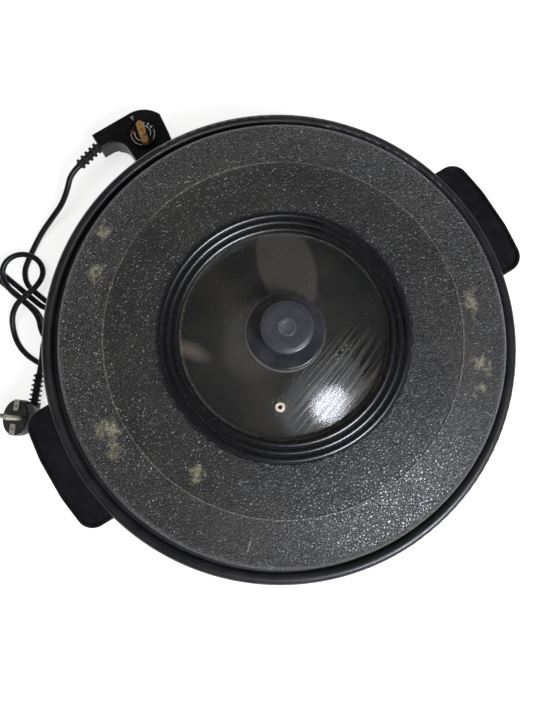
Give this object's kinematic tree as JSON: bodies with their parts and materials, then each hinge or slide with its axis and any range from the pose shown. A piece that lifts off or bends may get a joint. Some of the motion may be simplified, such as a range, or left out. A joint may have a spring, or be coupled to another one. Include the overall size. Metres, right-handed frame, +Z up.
{
  "type": "multicooker",
  "caption": "Round electric countertop multicooker: cast pan on feet with side handles, lift-off lid with domed glass and knob, plug-in thermostat with turning dial, hanked cord and plug.",
  "frame": {"origin": "the pan's axis where it meets the table, level with the soles of the foot pads", "axes": "+Z up along the pan's axis, +Y towards the thermostat, +X towards the right-hand side handle"},
  "size_m": [0.5145, 0.5077, 0.1472],
  "materials": {
    "coated_aluminium": "matte black non-stick coating",
    "textured_coating": "grained black coating",
    "bakelite": "satin",
    "gloss_black": "polished",
    "lid_pane": "polished",
    "seal_rubber": "matte",
    "black_rubber": "matte",
    "fastener_steel": "zinc plated",
    "element_steel": "heat dulled",
    "nickel": "nickel plated",
    "ceramic": "glazed",
    "phenolic": "moulded",
    "brass": "plain",
    "dial_plastic": "satin with printed marks",
    "grip_plastic": "worn",
    "cord_sheath": "satin",
    "plug_plastic": "satin"
  },
  "bodies": {
    "pan": {"pan_shell": "coated_aluminium", "heating_element": "element_steel", "terminal_pin_left": "nickel", "terminal_pin_right": "nickel", "insulator_left": "ceramic", "insulator_right": "ceramic", "terminal_shroud": "fastener_steel", "shroud_screws": "fastener_steel", "handle_left": "bakelite", "handle_right": "bakelite", "handle_screws": "fastener_steel", "foot_1": "bakelite", "foot_2": "bakelite", "foot_3": "bakelite", "foot_4": "bakelite", "foot_pad_1": "black_rubber", "foot_pad_2": "black_rubber", "foot_pad_3": "black_rubber", "foot_pad_4": "black_rubber", "foot_screws": "fastener_steel"},
    "lid": {"lid_shell": "textured_coating", "bezel_ring": "gloss_black", "bezel_screws": "fastener_steel", "glass_gasket": "seal_rubber", "lid_glass": "lid_pane", "vent_eyelet": "nickel", "knob_seal": "seal_rubber", "knob_base": "bakelite", "knob_top": "bakelite", "knob_cap": "gloss_black", "knob_washer": "fastener_steel", "knob_screw": "fastener_steel"},
    "thermostat": {"thermostat_cover": "bakelite", "thermostat_base": "bakelite", "housing_screws": "fastener_steel", "terminal_block": "phenolic", "probe_rod": "nickel", "contact_sleeve_left": "brass", "contact_sleeve_right": "brass", "switch_stack": "ceramic", "switch_blade": "brass", "cord_relief": "cord_sheath", "cord_upper": "cord_sheath", "cord_hank": "cord_sheath", "cord_lower": "cord_sheath", "plug_relief": "cord_sheath", "plug_body": "plug_plastic", "plug_pins": "nickel", "earth_clips": "nickel"},
    "dial": {"dial_shaft": "fastener_steel", "dial": "dial_plastic", "dial_grip": "grip_plastic"}
  },
  "joints": [
    {"name": "lid_lift", "type": "slide", "parent": "pan", "child": "lid", "axis": [0, 0, 1], "range_m": [0, 0.09]},
    {"name": "thermostat_pull", "type": "slide", "parent": "pan", "child": "thermostat", "axis": [0, 1, 0], "range_m": [0, 0.1]},
    {"name": "dial_turn", "type": "hinge", "parent": "thermostat", "child": "dial", "pos_m": [0, 0.258, 0.04], "axis": [0, 0, -1], "range_deg": [0, 285]}
  ]
}
